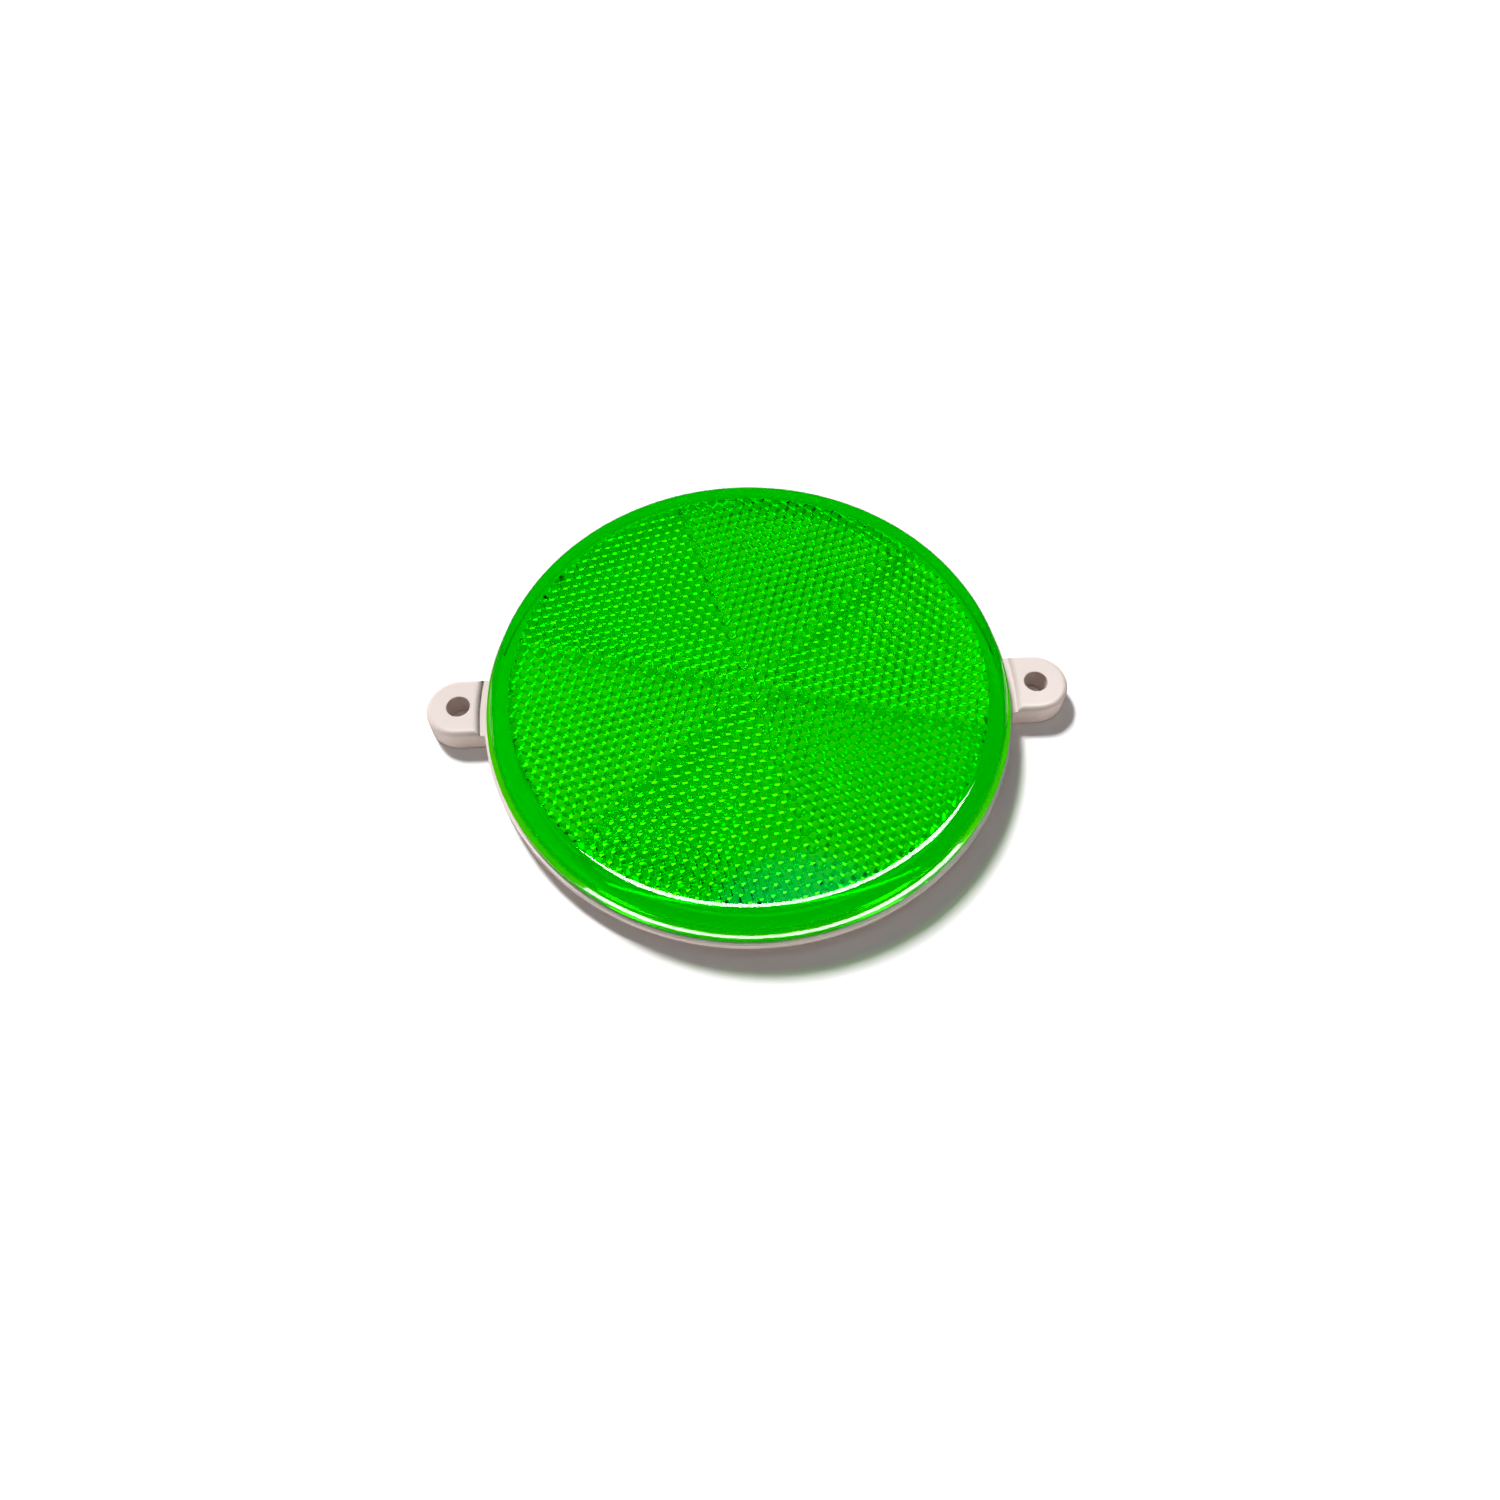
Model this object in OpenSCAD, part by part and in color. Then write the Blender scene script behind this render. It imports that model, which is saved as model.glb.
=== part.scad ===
// Round screw-on road reflector: a corner-cube lens welded to a housing with two screw ears.
// The origin is the centre of the flat back, +X runs towards one ear and +Z is the way the lens faces.

/* [Lens] */
// Diameter over the lip at the foot of the lens
lens_d = 100; // [80:1:140]
// Height from the underside of the lip to the flat face
lens_rise = 6.5; // [6.2:0.1:12]
// Height of the lip
lip_h = 1.5; // [0.8:0.1:2]
// How far the lip stands out from the lens wall
lip_w = 0.6; // [0.3:0.1:1.5]
// Radius of the rounded shoulder between wall and face
shoulder_r = 4; // [2.5:0.1:4.2]
// Thickness of the lens wall
lens_wall_t = 2.4; // [1.6:0.1:3]
// Solid thickness of the face above the prisms
face_t = 1.5; // [1:0.1:2]
// Distance across the flats of one corner-cube prism
prism_pitch = 2.1; // [1.5:0.1:2.6]

/* [Housing] */
// Height from the flat back to the top of the flange
housing_h = 4; // [3.6:0.1:10]
// How far the flange shows beyond the lens lip
flange_w = 0.6; // [0.3:0.1:2]
// Thickness of the flange
flange_t = 1.5; // [1:0.1:2.2]
// Thickness of the floor and of the tray wall
tray_t = 1.8; // [1.2:0.1:2.5]
// Clearance all round between the locating ring and the lens wall
weld_fit = 0.15; // [0.05:0.05:0.4]
// Thickness of the stiffening ribs on the floor
rib_t = 1.4; // [1:0.1:2.5]
// Depth of the shallow recess in the back
back_recess = 0.5; // [0.2:0.1:0.6]

/* [Ears] */
// Distance from the edge of the flange to the middle of a screw hole
hole_reach = 4.9; // [4.9:0.1:15]
// Diameter of a screw hole
hole_d = 4.5; // [3:0.1:5]
// Width of an ear, which is also the diameter of its round end
ear_w = 12.5; // [11.5:0.5:16]
// Height of the raised pad at the end of an ear, above the flange
pad_rise = 1; // [0.5:0.1:2]
// Radius of the rounded top edge of a pad
pad_edge_r = 1.2; // [0.5:0.1:1.4]
// Gap between the edge of the flange and the foot of a pad
pad_gap = 0.9; // [0.5:0.1:1.2]

/* [Hidden] */
$fn = 128;
eps = 0.01;

// Lens
lip_r = lens_d / 2;
wall_r = lip_r - lip_w;
bore_r = wall_r - lens_wall_t;
face_r = wall_r - shoulder_r;
top_z = housing_h + lens_rise;
// A cube corner seen along its diagonal is a hexagon: its depth follows from the distance across the flats.
prism_depth = prism_pitch * sqrt(2 / 3);
// The prisms are drawn as a plain layer with the same volume, half their depth thick.
prism_layer = prism_depth / 2;
face_under_z = top_z - face_t;
layer_z = face_under_z - prism_layer;
inner_corner_r = shoulder_r - face_t;
straight_wall_h = layer_z - inner_corner_r - housing_h;
layer_r = bore_r - inner_corner_r;
sectors = 6;
sector_gap = 0.3;
// The line between two sectors lies this far round from the ears.
sector_turn = -15;

// Housing
flange_r = lip_r + flange_w;
ring_r = bore_r - weld_fit;
ring_t = 1.5;
// The ring stops short of the rounded corner inside the lens.
ring_h = 0.85 * straight_wall_h;
tray_inner_r = ring_r - ring_t;
tray_r = tray_inner_r + tray_t;
flange_z = housing_h - flange_t;
hub_r = 6;
rib_top = housing_h;
recess_r = tray_inner_r - tray_t;
pin_mark_d = 6;
pin_mark_deep = 0.2;
pin_mark_turns = [45, 135, 225, 315];
pin_mark_at = 30;

// Ears
hole_x = flange_r + hole_reach;
ear_r = ear_w / 2;
ear_h = housing_h + pad_rise;
pad_r = flange_r + pad_gap;
ear_skin = 1.5;
boss_r = hole_d / 2 + 1.3;
pocket_r = ear_r - ear_skin;
pocket_h = ear_h - ear_skin;

module quarter_circle(r) {
    intersection() {
        circle(r);
        square(r);
    }
}

// Outline of half the lens, from the axis outwards
module lens_profile() {
    difference() {
        union() {
            translate([0, housing_h]) square([wall_r, lens_rise - shoulder_r]);
            translate([0, housing_h]) square([face_r, lens_rise]);
            translate([face_r, top_z - shoulder_r]) quarter_circle(shoulder_r);
            translate([0, housing_h]) square([lip_r, lip_h]);
        }
        lens_hollow_profile();
    }
}

// Outline of half the hollow behind the face, with its own rounded corner
module lens_hollow_profile() {
    translate([0, housing_h - eps]) square([bore_r, straight_wall_h + eps]);
    translate([0, housing_h - eps]) square([layer_r, layer_z - housing_h + eps]);
    translate([layer_r, layer_z - inner_corner_r]) quarter_circle(inner_corner_r);
}

// Narrow gaps in the prism layer mark the lines between the sectors
module sector_gaps() {
    for (i = [0 : sectors / 2 - 1])
        rotate(sector_turn + i * 360 / sectors)
            translate([-layer_r + sector_gap, -sector_gap / 2, housing_h])
                cube([2 * (layer_r - sector_gap), sector_gap, face_under_z - housing_h]);
}

module lens() {
    color("limegreen")
        difference() {
            rotate_extrude() lens_profile();
            sector_gaps();
        }
}

// Floor, wall, flange and locating ring in one turned outline
module tray_profile() {
    square([tray_r, tray_t]);
    translate([tray_inner_r, 0]) square([tray_t, housing_h]);
    translate([tray_inner_r, flange_z]) square([flange_r - tray_inner_r, flange_t]);
    translate([tray_inner_r, flange_z]) square([ring_t, flange_t + ring_h]);
}

module ribs() {
    cylinder(r = hub_r, h = rib_top);
    for (i = [0 : sectors - 1])
        rotate(sector_turn + i * 360 / sectors)
            translate([0, -rib_t / 2, tray_t - eps])
                cube([tray_inner_r + eps, rib_t, rib_top - tray_t + eps]);
}

// A bar with a round end at the hole and rounded top edges
module pad_bar(height, edge) {
    translate([hole_x, 0]) rotate_extrude() intersection() {
        pad_section(height, edge);
        square([ear_r, height]);
    }
    translate([tray_r - eps, 0]) rotate([90, 0, 90])
        linear_extrude(hole_x - tray_r + eps) pad_section(height, edge);
}

module pad_section(height, edge) {
    translate([-ear_r, 0]) square([ear_w, height - edge]);
    translate([-ear_r + edge, 0]) square([ear_w - 2 * edge, height]);
    for (side = [-1, 1]) translate([side * (ear_r - edge), height - edge]) circle(edge);
}

// What is cut away so that the pad stops at a step that follows the flange
module pad_step() {
    rotate_extrude() {
        translate([0, housing_h]) square([pad_r, ear_h]);
        translate([0, ear_h - pad_edge_r]) square([pad_r, ear_h]);
        difference() {
            translate([0, ear_h - pad_edge_r]) square([pad_r + pad_edge_r, ear_h]);
            translate([pad_r + pad_edge_r, ear_h - pad_edge_r]) circle(pad_edge_r);
        }
    }
}

// The hollow in the underside of an ear, round a boss for the screw
module ear_pocket() {
    difference() {
        translate([0, 0, -eps]) intersection() {
            union() {
                translate([hole_x, 0]) cylinder(r = pocket_r, h = pocket_h);
                translate([0, -pocket_r]) cube([hole_x, 2 * pocket_r, pocket_h]);
            }
            difference() {
                cylinder(r = hole_x + ear_r, h = pocket_h);
                cylinder(r = pad_r, h = pocket_h);
            }
        }
        translate([hole_x, 0, -1]) cylinder(r = boss_r, h = ear_h);
    }
}

module ear() {
    difference() {
        union() {
            difference() {
                pad_bar(ear_h, pad_edge_r);
                pad_step();
            }
            intersection() {
                pad_bar(housing_h, eps);
                cylinder(r = pad_r + pad_edge_r, h = housing_h);
            }
        }
        ear_pocket();
        translate([hole_x, 0, -1]) cylinder(d = hole_d, h = ear_h + 2);
    }
}

module housing() {
    color("antiquewhite")
        difference() {
            union() {
                rotate_extrude() tray_profile();
                ribs();
                for (turn = [0, 180]) rotate(turn) ear();
            }
            translate([0, 0, -eps]) cylinder(r = recess_r, h = back_recess + eps);
            for (turn = pin_mark_turns) rotate(turn)
                translate([pin_mark_at, 0, 0])
                    cylinder(d = pin_mark_d, h = back_recess + pin_mark_deep);
        }
}

housing();
lens();
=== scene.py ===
"""Looks of the round screw-on road reflector: a green acrylic corner-cube lens welded to an off-white
ABS housing. Metres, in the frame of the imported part: +Z is the way the lens faces, +X runs towards an ear."""

import math

import bmesh
import bpy
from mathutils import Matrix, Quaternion, Vector


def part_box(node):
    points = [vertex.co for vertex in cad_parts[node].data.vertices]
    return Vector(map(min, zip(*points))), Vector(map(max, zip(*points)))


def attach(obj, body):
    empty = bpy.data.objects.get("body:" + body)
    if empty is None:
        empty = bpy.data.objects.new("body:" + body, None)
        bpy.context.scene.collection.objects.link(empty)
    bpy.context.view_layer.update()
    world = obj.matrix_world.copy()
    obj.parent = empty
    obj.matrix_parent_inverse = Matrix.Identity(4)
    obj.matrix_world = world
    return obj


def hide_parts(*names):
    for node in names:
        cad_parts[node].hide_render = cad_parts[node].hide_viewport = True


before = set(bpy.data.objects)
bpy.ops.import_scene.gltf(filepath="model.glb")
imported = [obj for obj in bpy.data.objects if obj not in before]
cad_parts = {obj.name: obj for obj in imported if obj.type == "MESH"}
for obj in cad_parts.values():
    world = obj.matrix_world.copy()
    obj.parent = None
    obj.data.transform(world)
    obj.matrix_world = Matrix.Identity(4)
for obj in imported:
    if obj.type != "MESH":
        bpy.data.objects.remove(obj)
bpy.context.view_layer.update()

MM = 0.001
lens_low, lens_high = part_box("lens")
housing_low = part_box("housing")[0]

# ---------------------------------------------------------------- sizes of the lens, in millimetres
LIP_R = lens_high.x / MM
FOOT_Z = lens_low.z / MM
FACE_Z = lens_high.z / MM
FOOT_GAP = 0.02          # the weld keeps the foot this far off the flange
LIP_H = 1.5
LIP_ROUND = 0.2
LEDGE_DROP = 0.045       # the top of the lip falls outwards by this much
LEDGE_TILT = 5           # which makes this slope, in degrees
WALL_R = LIP_R - 0.9
FOOT_FILLET = 0.2        # in the corner between the lip and the wall
SHOULDER_R = 3.7
BORE_ROUND = 0.1
BORE_R = LIP_R - 3.0     # clears the locating ring of the housing
FACE_T = 1.5
BACK_Z = FACE_Z - FACE_T
FIELD_R = 45.2           # the prisms run out into the solid rim here
RIM_FOOT_Z = FOOT_Z + 1.6  # and the rim's inner side steps out to the bore here, just above the ring
NARROW = 0.05            # flats this wide beside the roundings keep the shading of the wide faces even
FACE_BAND = 0.6          # the outermost band of the face, between the shoulder and the round cap
AROUND = 240             # facets round the turned skin, a multiple of the six prism sectors

# ---------------------------------------------------------------- corner-cube prisms
PITCH = 2.1              # across the flats of one cube, seen along its diagonal
STEP = PITCH / math.sqrt(6)          # a cube's corners lie on levels this far apart
CORNER_R = PITCH / math.sqrt(3)      # from the tip of a cube out to its corners
EDGE_ROUND = 0.06        # how far the rounding of a cube's edges reaches into its facets
SECTORS = 6
CRISP = math.radians(15)  # an upright wall meets its neighbour in a crisp edge from this angle up
SAME = 5e-4              # two places closer than this are one
ON_LINE = 1e-9           # a place this near a line lies on it
CUT_ERROR = 1e-6         # what several cuts may add up to
DECIMALS = 4             # distances along a run are kept to this many
MENDING_ROUNDS = 3       # passes over the open edges, at most
SECTOR_START = math.radians(-15)
SECTOR_TURN = 2 * math.pi / SECTORS
FIRST_CORNER = 1         # which corners of a cube lie one step up: the even (0) or the odd (1) ones


def arc(cx, cz, r, start, end, steps):
    """Points of an arc in the section plane, from one angle to another in degrees."""
    turns = [math.radians(start + (end - start) * i / steps) for i in range(steps + 1)]
    return [(cx + r * math.cos(t), cz + r * math.sin(t)) for t in turns]


def lens_section():
    """Half the lens in section: from the edge of the prism field down the bore, round the lip, up the wall
    and over the shoulder to the face."""
    foot = FOOT_Z + FOOT_GAP
    lip_top = FOOT_Z + LIP_H
    face_r = WALL_R - SHOULDER_R
    points = [(FIELD_R, RIM_FOOT_Z), (BORE_R - NARROW, RIM_FOOT_Z), (BORE_R, RIM_FOOT_Z - NARROW)]
    points += [(BORE_R, foot + 2 * BORE_ROUND)]
    points += arc(BORE_R + BORE_ROUND, foot + BORE_ROUND, BORE_ROUND, 180, 270, 3)
    points += [(BORE_R + 2 * BORE_ROUND, foot), (LIP_R - LIP_ROUND - NARROW, foot)]
    points += arc(LIP_R - LIP_ROUND, foot + LIP_ROUND, LIP_ROUND, 270, 360, 6)
    points += arc(LIP_R - LIP_ROUND, lip_top - LEDGE_DROP - LIP_ROUND, LIP_ROUND, 0, 90 - LEDGE_TILT, 7)
    points += arc(WALL_R + FOOT_FILLET, lip_top + FOOT_FILLET, FOOT_FILLET, 270 - LEDGE_TILT, 180, 7)
    points += [(WALL_R, lip_top + FOOT_FILLET + NARROW), (WALL_R, FACE_Z - SHOULDER_R - NARROW)]
    points += arc(face_r, FACE_Z - SHOULDER_R, SHOULDER_R, 0, 90, 28)
    points += [(face_r - NARROW, FACE_Z), (face_r - FACE_BAND, FACE_Z)]
    return points


def cut(polygon, nx, ny, d):
    """The part of a polygon where nx*x + ny*y <= d."""
    kept = []
    for a, b in zip(polygon, polygon[1:] + polygon[:1]):
        da, db = nx * a[0] + ny * a[1] - d, nx * b[0] + ny * b[1] - d
        if da <= ON_LINE:
            kept.append(a)
        if min(da, db) < -ON_LINE and max(da, db) > ON_LINE:
            t = da / (da - db)
            kept.append(tuple(p + t * (q - p) for p, q in zip(a, b)))
    return kept if len(kept) > 2 else []


def cube(cx, cy):
    """One corner cube, its tip away from the face: square facets, and narrow faces along edges and corners
    that carry the rounding. Faces at the cube's outline stop halfway, where the next cube's begin.
    Places are first given along the three edges that meet in the tip, as shares of an edge."""
    r = EDGE_ROUND / math.hypot(CORNER_R, STEP)
    near_tip, far, by_e, by_f = (r, r, 0), (1 - r, 1 - r, 0), (1 - r, r, 0), (r, 1 - r, 0)
    low_e, high_e = (1 - r / 2, r, -r / 2), (1 - r / 2, 1 - r, -r / 2)
    low_f, high_f = (r, 1 - r / 2, -r / 2), (1 - r, 1 - r / 2, -r / 2)
    valley_end = (1 - 2 / 3 * r, 1 - 2 / 3 * r, -2 / 3 * r)
    third = [[near_tip, by_e, far, by_f],
             [near_tip, by_e, (1 - r, 0, r), (r, 0, r)],
             [by_e, low_e, high_e, far], [by_f, far, high_f, low_f],
             [far, high_e, valley_end, high_f],
             [(1, 0, 0), low_e, by_e, (1 - r, 0, r), (1 - r / 2, -r / 2, r)]]
    turns = [SECTOR_START + (k + 1) * SECTOR_TURN for k in range(FIRST_CORNER, 6, 2)]
    faces = [[(r, r, 0), (0, r, r), (r, 0, r)]]
    faces += [[place[-i:] + place[:-i] for place in face] for face in third for i in range(3)]
    return [[(cx + CORNER_R * sum(share * math.cos(t) for share, t in zip(place, turns)),
              cy + CORNER_R * sum(share * math.sin(t) for share, t in zip(place, turns)),
              BACK_Z - 2 * STEP + STEP * sum(place)) for place in face] for face in faces]


def sector_facets():
    """The cubes of one sector, trimmed to the sector's two lines and to the edge of the field."""
    lattice = SECTOR_START + SECTOR_TURN / 2
    ux, uy = PITCH * math.cos(lattice), PITCH * math.sin(lattice)
    vx, vy = PITCH * math.cos(lattice + SECTOR_TURN), PITCH * math.sin(lattice + SECTOR_TURN)
    end = SECTOR_START + SECTOR_TURN
    sides = [(math.sin(SECTOR_START), -math.cos(SECTOR_START), 0), (-math.sin(end), math.cos(end), 0)]
    facet_turn = 2 * math.pi / AROUND
    flat_d = FIELD_R * math.cos(facet_turn / 2)
    rim = []
    for i in range(AROUND // SECTORS):
        turn = SECTOR_START + (i + 0.5) * facet_turn
        rim.append((math.cos(turn), math.sin(turn), flat_d))
    # Rows of cubes lie closer than the pitch, because the lattice leans. Two more rows reach past the edge.
    reach = int(FIELD_R / (PITCH * math.sin(SECTOR_TURN))) + 2
    facets = []
    for i in range(-reach, reach + 1):
        for j in range(-reach, reach + 1):
            cx, cy = i * ux + j * vx, i * uy + j * vy
            if math.hypot(cx, cy) > FIELD_R + CORNER_R:
                continue
            if any(nx * cx + ny * cy > d + CORNER_R for nx, ny, d in sides):
                continue
            near_rim = math.hypot(cx, cy) > flat_d - CORNER_R
            for facet in cube(cx, cy):
                for line in sides + (rim if near_rim else []):
                    facet = cut(facet, *line) if facet else []
                if facet:
                    facets.append(facet)
    return facets


def edge_run(facets, start, end):
    """The facets' edges that lie on the line from start to end, joined into one run of (distance, z)."""
    length = math.dist(start, end)
    dx, dy = (end[0] - start[0]) / length, (end[1] - start[1]) / length
    run = {}
    for facet in facets:
        for a, b in zip(facet, facet[1:] + facet[:1]):
            spots = [(p[0] - start[0], p[1] - start[1], p[2]) for p in (a, b)]
            if all(abs(x * dy - y * dx) < CUT_ERROR for x, y, _ in spots):
                for x, y, z in spots:
                    along = x * dx + y * dy
                    if -CUT_ERROR < along < length + CUT_ERROR:
                        run[min(max(round(along, DECIMALS), 0.0), round(length, DECIMALS))] = z
    return sorted(run.items())


def height_at(run, along):
    """The z of a run at a distance along it."""
    for (a, za), (b, zb) in zip(run, run[1:]):
        if a - ON_LINE <= along <= b + ON_LINE:
            return za + (zb - za) * (along - a) / (b - a)
    return run[-1][1]


def inner_part(run, a, b):
    """The places of a run that lie between the distances a and b."""
    return [(s, z) for s, z in run if a + SAME < s < b - SAME]


def upright(start, stop, s, z):
    """The point at height z over the place s along the line from start to stop."""
    share = s / math.dist(start, stop)
    return (start[0] + (stop[0] - start[0]) * share, start[1] + (stop[1] - start[1]) * share, z)


def walls_between(low, high, start, stop):
    """Upright faces between two runs along the line from start to stop, split where the runs cross."""
    stops = sorted(set([a for a, _ in low] + [a for a, _ in high]))
    stops = [s for i, s in enumerate(stops) if i == 0 or s - stops[i - 1] > SAME]
    gaps = [height_at(high, s) - height_at(low, s) for s in stops]
    meets = [stops[i] for i in range(len(stops)) if abs(gaps[i]) < SAME]
    for i in range(len(stops) - 1):
        if gaps[i] * gaps[i + 1] < 0 and min(abs(gaps[i]), abs(gaps[i + 1])) > SAME:
            t = gaps[i] / (gaps[i] - gaps[i + 1])
            meets.append(stops[i] + t * (stops[i + 1] - stops[i]))
    ends = sorted(set(meets + [stops[0], stops[-1]]))
    faces = []
    for a, b in zip(ends, ends[1:]):
        low_inside, high_inside = inner_part(low, a, b), inner_part(high, a, b)
        between = [s for s, _ in low_inside + high_inside] + [(a + b) / 2]
        if all(abs(height_at(low, s) - height_at(high, s)) < SAME for s in between):
            continue
        lower = [(a, height_at(low, a))] + low_inside + [(b, height_at(low, b))]
        upper = [(a, height_at(high, a))] + high_inside + [(b, height_at(high, b))]
        faces.append([upright(start, stop, s, z) for s, z in lower + upper[::-1]])
    return faces


def turned(polygon, turn):
    """A polygon turned about Z."""
    c, s = math.cos(turn), math.sin(turn)
    return [(c * x - s * y, s * x + c * y, z) for x, y, z in polygon]


def prism_field():
    """The six sectors of prisms, and the upright faces: at the lines between the sectors, and round the
    edge of the field, where they run down to the foot of the rim."""
    facets = sector_facets()
    end = SECTOR_START + SECTOR_TURN
    rim_turn = 2 * math.pi / AROUND
    out = (FIELD_R * math.cos(end), FIELD_R * math.sin(end))
    this_side = edge_run(facets, (0, 0), out)
    next_side = edge_run([turned(f, SECTOR_TURN) for f in facets], (0, 0), out)
    walls = walls_between(this_side, next_side, (0, 0), out)
    for i in range(AROUND // SECTORS):
        a, b = SECTOR_START + i * rim_turn, SECTOR_START + (i + 1) * rim_turn
        start = (FIELD_R * math.cos(a), FIELD_R * math.sin(a))
        stop = (FIELD_R * math.cos(b), FIELD_R * math.sin(b))
        run = edge_run(facets, start, stop)
        walls += walls_between(run, [(0, RIM_FOOT_Z), (run[-1][0], RIM_FOOT_Z)], start, stop)
    return [[turned(p, k * SECTOR_TURN) for k in range(SECTORS) for p in part] for part in (facets, walls)]


def turned_skin(section):
    """Quads of the section turned about Z, with a round cap over its last ring."""
    turns = [SECTOR_START + 2 * math.pi * i / AROUND for i in range(AROUND)]
    rings = [[(r * math.cos(t), r * math.sin(t), z) for t in turns] for r, z in section]
    quads = [[a[i], a[(i + 1) % AROUND], b[(i + 1) % AROUND], b[i]]
             for a, b in zip(rings, rings[1:]) for i in range(AROUND)]
    return quads, [rings[-1]]


def joined(polygons):
    """Shared vertices, and a list of vertex numbers for each polygon, empty where it shrank to nothing.
    Open edges are split where another open vertex lies on them."""
    index, spots, faces = {}, [], []
    for polygon in polygons:
        face = []
        for p in polygon:
            key = tuple(round(c / SAME) for c in p)
            at = next((index[k] for k in near(key) if k in index), None)
            if at is None:
                at = index[key] = len(spots)
                spots.append(Vector(p))
            if not face or (face[-1] != at and face[0] != at):
                face.append(at)
        faces.append(face if len(face) > 2 else [])
    for _ in range(MENDING_ROUNDS):
        count = {}
        for face in faces:
            for a, b in zip(face, face[1:] + face[:1]):
                count[frozenset((a, b))] = count.get(frozenset((a, b)), 0) + 1
        open_edges = {e for e, n in count.items() if n == 1 and len(e) == 2}
        loose = sorted({v for e in open_edges for v in e})
        if not open_edges:
            break
        for f, face in enumerate(faces):
            mended = []
            for a, b in zip(face, face[1:] + face[:1]):
                mended.append(a)
                if frozenset((a, b)) in open_edges:
                    mended += on_edge(spots, loose, a, b)
            faces[f] = mended
    return spots, faces


def near(key):
    """A rounded place and its neighbours, the place itself first."""
    around = [(0, 0, 0)] + [(i, j, k) for i in (-1, 0, 1) for j in (-1, 0, 1) for k in (-1, 0, 1)]
    return [tuple(c + d for c, d in zip(key, shift)) for shift in around]


def on_edge(spots, loose, a, b):
    """Vertices among the loose ones that lie inside the edge from a to b, in order."""
    start, run = spots[a], spots[b] - spots[a]
    found = []
    for v in loose:
        if v in (a, b):
            continue
        t = (spots[v] - start).dot(run) / run.length_squared
        if CUT_ERROR < t < 1 - CUT_ERROR and (start + t * run - spots[v]).length < 2 * SAME:
            found.append((t, v))
    return [v for _, v in sorted(found)]


def lens_mesh():
    """The whole moulding as one closed mesh: turned skin outside, prisms inside. The faces at the sector
    lines and round the field are crisp; the rest is smooth, led by the largest face at each vertex."""
    skin, cap = turned_skin(lens_section())
    facets, walls = prism_field()
    spots, faces = joined(facets + walls + skin + cap)
    kept = [i for i, face in enumerate(faces) if face]
    mesh = bpy.data.meshes.new("lens_moulding")
    mesh.from_pydata([v * MM for v in spots], [], [faces[i] for i in kept])
    mesh.polygons.foreach_set("use_smooth", [True] * len(kept))
    bm = bmesh.new()
    bm.from_mesh(mesh)
    bm.faces.ensure_lookup_table()
    bmesh.ops.recalc_face_normals(bm, faces=bm.faces)
    for number, i in enumerate(kept):
        if len(facets) <= i < len(facets) + len(walls):
            for edge in bm.faces[number].edges:
                edge.smooth = edge.calc_face_angle(math.pi) < CRISP
    bm.to_mesh(mesh)
    bm.free()
    return mesh


lens = bpy.data.objects.new("lens_moulding", lens_mesh())
bpy.context.scene.collection.objects.link(lens)
led = lens.modifiers.new("facets_lead", "WEIGHTED_NORMAL")
led.mode = "FACE_AREA"
led.weight = 100
led.keep_sharp = True
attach(lens, "root")
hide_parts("lens")


# ---------------------------------------------------------------- materials
ABS_LIGHT, ABS_SHADE = "#D8CBC6", "#D1C4BE"


def colour(hexa):
    """An sRGB hex colour as linear RGBA."""
    parts = [int(hexa[i:i + 2], 16) / 255 for i in (1, 3, 5)]
    return tuple(c / 12.92 if c <= 0.04045 else ((c + 0.055) / 1.055) ** 2.4 for c in parts) + (1.0,)


def node(tree, kind, settings=None, links=None):
    """Adds a node, sets its attributes or sockets, and links its inputs. Sockets go by name or number."""
    made = tree.nodes.new(kind)
    for name, value in (settings or {}).items():
        if isinstance(name, int) or name in made.inputs:
            made.inputs[name].default_value = value
        else:
            setattr(made, name, value)
    for name, source in (links or {}).items():
        tree.links.new(source, made.inputs[name])
    return made


def new_material(name):
    material = bpy.data.materials.new(name)
    material.use_nodes = True
    material.node_tree.nodes.clear()
    return material, material.node_tree


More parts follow.
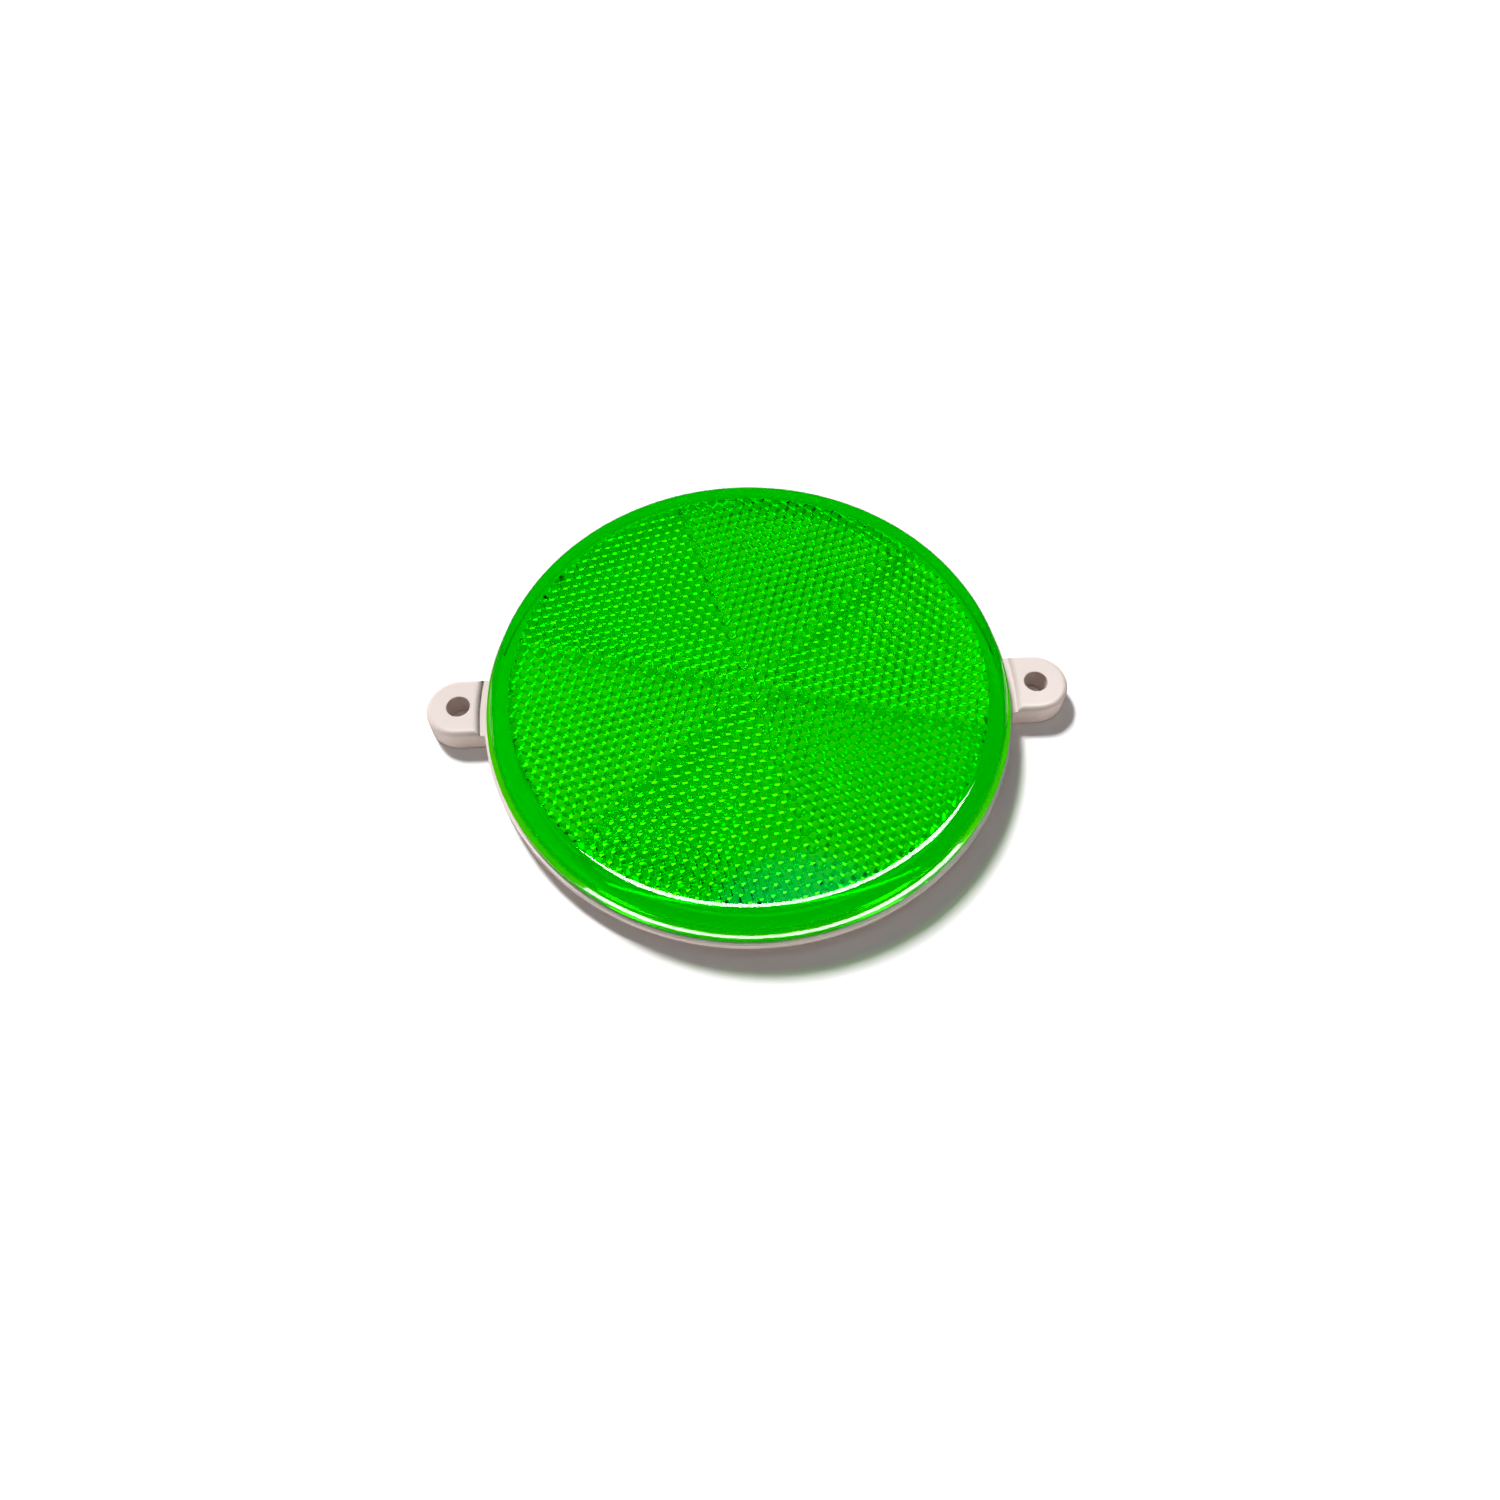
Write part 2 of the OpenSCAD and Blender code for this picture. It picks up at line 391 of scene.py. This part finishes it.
def moulded_acrylic():
    """Transparent green PMMA, injection moulded in a polished tool."""
    material, tree = new_material("moulded_acrylic_green")
    place = node(tree, "ShaderNodeTexCoord")
    # Shrinkage leaves the polished face a few micrometres out of flat, so reflections waver slightly.
    wave = node(tree, "ShaderNodeTexNoise", {"Scale": 1 / (11 * MM), "Detail": 1.0}, {
        "Vector": place.outputs["Object"]})
    sink = node(tree, "ShaderNodeBump", {"Strength": 0.06, "Distance": 0.02 * MM}, {
        "Height": wave.outputs[0]})
    shader = node(tree, "ShaderNodeBsdfPrincipled", {
        "Base Color": colour("#FFFFFF"), "IOR": 1.49, "Transmission Weight": 1.0, "Roughness": 0.015,
        "Specular IOR Level": 0.35}, {"Normal": sink.outputs[0]})
    # Shadow rays pass straight through, in place of caustics: freely where the lens lights what lies inside
    # it, weakly where it shades what is seen directly, so that its shadow on the floor stays a shadow.
    path = node(tree, "ShaderNodeLightPath")
    # A ray that came in through the lens has bounced three times or more by the time it looks for a lamp.
    inside = node(tree, "ShaderNodeMath", {"operation": "GREATER_THAN", 1: 2.5}, {
        0: path.outputs["Ray Depth"]})
    passed = node(tree, "ShaderNodeMapRange", {"To Min": 0.35, "To Max": 0.5}, {"Value": inside.outputs[0]})
    clear = node(tree, "ShaderNodeBsdfTransparent", {}, {"Color": passed.outputs[0]})
    mix = node(tree, "ShaderNodeMixShader", {}, {
        0: path.outputs["Is Shadow Ray"], 1: shader.outputs[0], 2: clear.outputs[0]})
    # The dye: thin places such as the lip come out yellow-green, thick ones deep green.
    dye = node(tree, "ShaderNodeVolumeAbsorption", {"Color": colour("#D2FE00"), "Density": 1800.0})
    node(tree, "ShaderNodeOutputMaterial", {}, {"Surface": mix.outputs[0], "Volume": dye.outputs[0]})
    return material


def moulded_abs():
    """Off-white ABS, injection moulded in a finely eroded tool."""
    material, tree = new_material("moulded_abs_off_white")
    place = node(tree, "ShaderNodeTexCoord")
    # The eroded tool leaves a fine satin grain, drawn about 0.4 mm wide so that it can be seen at all.
    grain = node(tree, "ShaderNodeTexNoise", {"Scale": 1 / (0.4 * MM), "Detail": 2.0}, {
        "Vector": place.outputs["Object"]})
    # Moulded edges are never sharp: the normals are rounded off over 0.25 mm and catch a thin light line.
    edges = node(tree, "ShaderNodeBevel", {"samples": 6, "Radius": 0.25 * MM})
    bump = node(tree, "ShaderNodeBump", {"Strength": 0.15, "Distance": 0.05 * MM}, {
        "Height": grain.outputs[0], "Normal": edges.outputs[0]})
    # Flow of the melt: sheen and tone change a little from place to place. Inputs 6 and 7 of a colour mix
    # are its two colours.
    flow = node(tree, "ShaderNodeTexNoise", {"Scale": 1 / (17 * MM), "Detail": 3.0}, {
        "Vector": place.outputs["Object"]})
    sheen = node(tree, "ShaderNodeMapRange", {"To Min": 0.36, "To Max": 0.52}, {"Value": flow.outputs[0]})
    tone = node(tree, "ShaderNodeMix", {
        "data_type": "RGBA", 6: colour(ABS_SHADE), 7: colour(ABS_LIGHT)}, {0: flow.outputs[0]})
    # Seen through the lens, the housing glows with painted light: an emission that stands in for the green
    # light caught in the sealed gap and scattered there from wall to wall, which the render's few bounces
    # through the prisms leave out.
    path = node(tree, "ShaderNodeLightPath")
    painted_gap_glow = node(tree, "ShaderNodeMapRange", {"To Min": 0.0, "To Max": 0.38}, {
        "Value": path.outputs["Is Transmission Ray"]})
    shader = node(tree, "ShaderNodeBsdfPrincipled", {"IOR": 1.53, "Emission Color": colour("#89FF26")}, {
        "Base Color": tone.outputs[2], "Roughness": sheen.outputs[0], "Normal": bump.outputs[0],
        "Emission Strength": painted_gap_glow.outputs[0]})
    node(tree, "ShaderNodeOutputMaterial", {}, {"Surface": shader.outputs[0]})
    return material


lens.data.materials.append(moulded_acrylic())
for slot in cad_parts["housing"].material_slots:
    slot.material = moulded_abs()

# ---------------------------------------------------------------- floor, light and camera
scene = bpy.context.scene
HALF = 3.0               # the sheet of paper reaches this far each way, in metres
FLOOR_GAP = 0.0001       # the back of the part stands this far off the paper
corners = [(-HALF, -HALF, 0), (HALF, -HALF, 0), (HALF, HALF, 0), (-HALF, HALF, 0)]
floor_mesh = bpy.data.meshes.new("floor")
floor_mesh.from_pydata(corners, [], [(0, 1, 2, 3)])
floor = bpy.data.objects.new("floor", floor_mesh)
floor.location.z = housing_low.z - FLOOR_GAP
scene.collection.objects.link(floor)
floor.visible_glossy = False
paper, tree = new_material("matt_white_paper")
fibre = node(tree, "ShaderNodeTexNoise", {"Scale": 1 / (2.5 * MM), "Detail": 2.0})
shade = node(tree, "ShaderNodeMapRange", {"To Min": 0.88, "To Max": 0.93}, {"Value": fibre.outputs[0]})
shader = node(tree, "ShaderNodeBsdfPrincipled", {"Roughness": 0.9}, {"Base Color": shade.outputs[0]})
node(tree, "ShaderNodeOutputMaterial", {}, {"Surface": shader.outputs[0]})
floor_mesh.materials.append(paper)


def softbox(name, centre, aim, length, width, radiance, tint="#FFFFFF", spin=0.0, through=False):
    """A rectangular area light of a given radiance, facing aim, its length along X before the spin."""
    light = bpy.data.lights.new(name, "AREA")
    light.shape = "RECTANGLE"
    light.size, light.size_y = length, width
    light.energy = radiance * math.pi * length * width
    light.color = colour(tint)[:3]
    lamp = bpy.data.objects.new(name, light)
    lamp.location = centre
    facing = (Vector(aim) - Vector(centre)).to_track_quat("-Z", "Y")
    lamp.rotation_mode = "QUATERNION"
    lamp.rotation_quaternion = facing @ Quaternion((0, 0, 1), spin)
    scene.collection.objects.link(lamp)
    lamp.visible_transmission = through
    lamp.visible_camera = False
    return lamp


centre = Vector((0, 0, lens_high.z))
# Only its reflection counts: the white arcs on the shoulder and on the ledge of the lip.
strip = softbox("overhead_strip", (0.09, 0.055, 0.61), (0.09, 0.055, 0), 0.64, 0.19, 22.0,
                spin=math.radians(5))
strip.visible_diffuse = False
# The main light and its shadow towards +X and -Y. It stands far off, so the paper is lit evenly.
key = softbox("key_from_behind", (-1.68, 3.0, 3.86), centre, 0.8, 0.8, 190.0)
key.visible_glossy = False
# Two low lamps for the sides of the ears and the edge of the flange.
for side in (-1, 1):
    fill = softbox("low_fill", (side * 0.55, -0.8, 0.12), centre, 0.3, 0.2, 9.5, tint="#FFEEE2")
    fill.visible_glossy = False
# Seen only through the prisms: it gives them their bright dashes.
glint = softbox("strip_in_the_prisms", (0.05, -0.172, 0.61), (0.05, 0, 0.01), 0.9, 0.035, 17.0,
                through=True)
glint.visible_diffuse = glint.visible_glossy = False

world = bpy.data.worlds.new("studio")
scene.world = world
world.use_nodes = True
world.node_tree.nodes.clear()
tree = world.node_tree
look = node(tree, "ShaderNodeTexCoord").outputs["Generated"]
# What each kind of ray sees: a level and a tint, and more or less light round some directions, which fades
# out between two angles in degrees.
level = {}
for rays, base, tint, lobes in (
        ("backdrop", 0.92, "#FFFFFF", []),
        ("the room", 1.6, "#FFFFFF", [((0, 0, 1), 74, 90, -1.5)]),
        ("mirrored", 0.12, "#FFFFFF", [((0.05, 0.5, 0.87), 14, 24, -0.09)]),
        ("blue glow", 0.0, "#3FA0FF", [((0.06, 0.33, 0.94), 1, 7, 1.6)]),
        ("through", 0.53, "#FFFFFF", [
            ((-0.58, -0.58, 0.57), 6, 13, 1.5), ((0.58, -0.58, 0.57), 6, 13, 2.5)])):
    shade = node(tree, "ShaderNodeBackground", {"Color": colour(tint), "Strength": base})
    total = None
    for axis, inner, outer, more in lobes:
        along = node(tree, "ShaderNodeVectorMath", {
            "operation": "DOT_PRODUCT", 1: Vector(axis).normalized()}, {0: look})
        lobe = node(tree, "ShaderNodeMapRange", {
            "interpolation_type": "SMOOTHSTEP", "From Min": math.cos(math.radians(outer)),
            "From Max": math.cos(math.radians(inner)), "To Min": 0.0, "To Max": more},
            {"Value": along.outputs["Value"]})
        before = {0: total} if total else {}
        total = node(tree, "ShaderNodeMath", {"operation": "ADD", 0: base}, {
            1: lobe.outputs[0], **before}).outputs[0]
        tree.links.new(total, shade.inputs["Strength"])
    level[rays] = shade.outputs[0]
ray = node(tree, "ShaderNodeLightPath")
mirrored = node(tree, "ShaderNodeAddShader", {}, {0: level["mirrored"], 1: level["blue glow"]})
sight = node(tree, "ShaderNodeMixShader", {}, {
    0: ray.outputs["Is Glossy Ray"], 1: level["the room"], 2: mirrored.outputs[0]})
sight = node(tree, "ShaderNodeMixShader", {}, {
    0: ray.outputs["Is Transmission Ray"], 1: sight.outputs[0], 2: level["through"]})
sight = node(tree, "ShaderNodeMixShader", {}, {
    0: ray.outputs["Is Camera Ray"], 1: sight.outputs[0], 2: level["backdrop"]})
node(tree, "ShaderNodeOutputWorld", {}, {"Surface": sight.outputs[0]})

EYE = (-0.0058, -0.12525, 0.2035)
HEADING = math.radians(-2.76)   # about Z, from looking along +Y
TILT = math.radians(29.65)      # up from looking straight down
ROLL = math.radians(-0.17)      # about the line of sight
camera_data = bpy.data.cameras.new("camera")
camera_data.sensor_width = 36.0
camera_data.lens = 29.34
camera_data.clip_start = 0.005
camera = bpy.data.objects.new("camera", camera_data)
camera.location = EYE
aimed = Quaternion((0, 0, 1), HEADING) @ Quaternion((1, 0, 0), TILT)
camera.rotation_mode = "QUATERNION"
camera.rotation_quaternion = aimed @ Quaternion((0, 0, 1), ROLL)
scene.collection.objects.link(camera)
scene.camera = camera

scene.view_settings.view_transform = "Standard"
scene.cycles.max_bounces = 20
scene.cycles.transmission_bounces = 20
scene.cycles.glossy_bounces = 12
scene.cycles.diffuse_bounces = 4
scene.cycles.sample_clamp_indirect = 6.0
scene.cycles.use_denoising = True
scene.cycles.caustics_refractive = False
scene.cycles.caustics_reflective = False
BLACK = 0.02             # the darkest tones sink to black, which deepens the green
scene.view_settings.use_curve_mapping = True
scene.view_settings.curve_mapping.black_level = (BLACK, BLACK, BLACK)
scene.view_settings.curve_mapping.update()
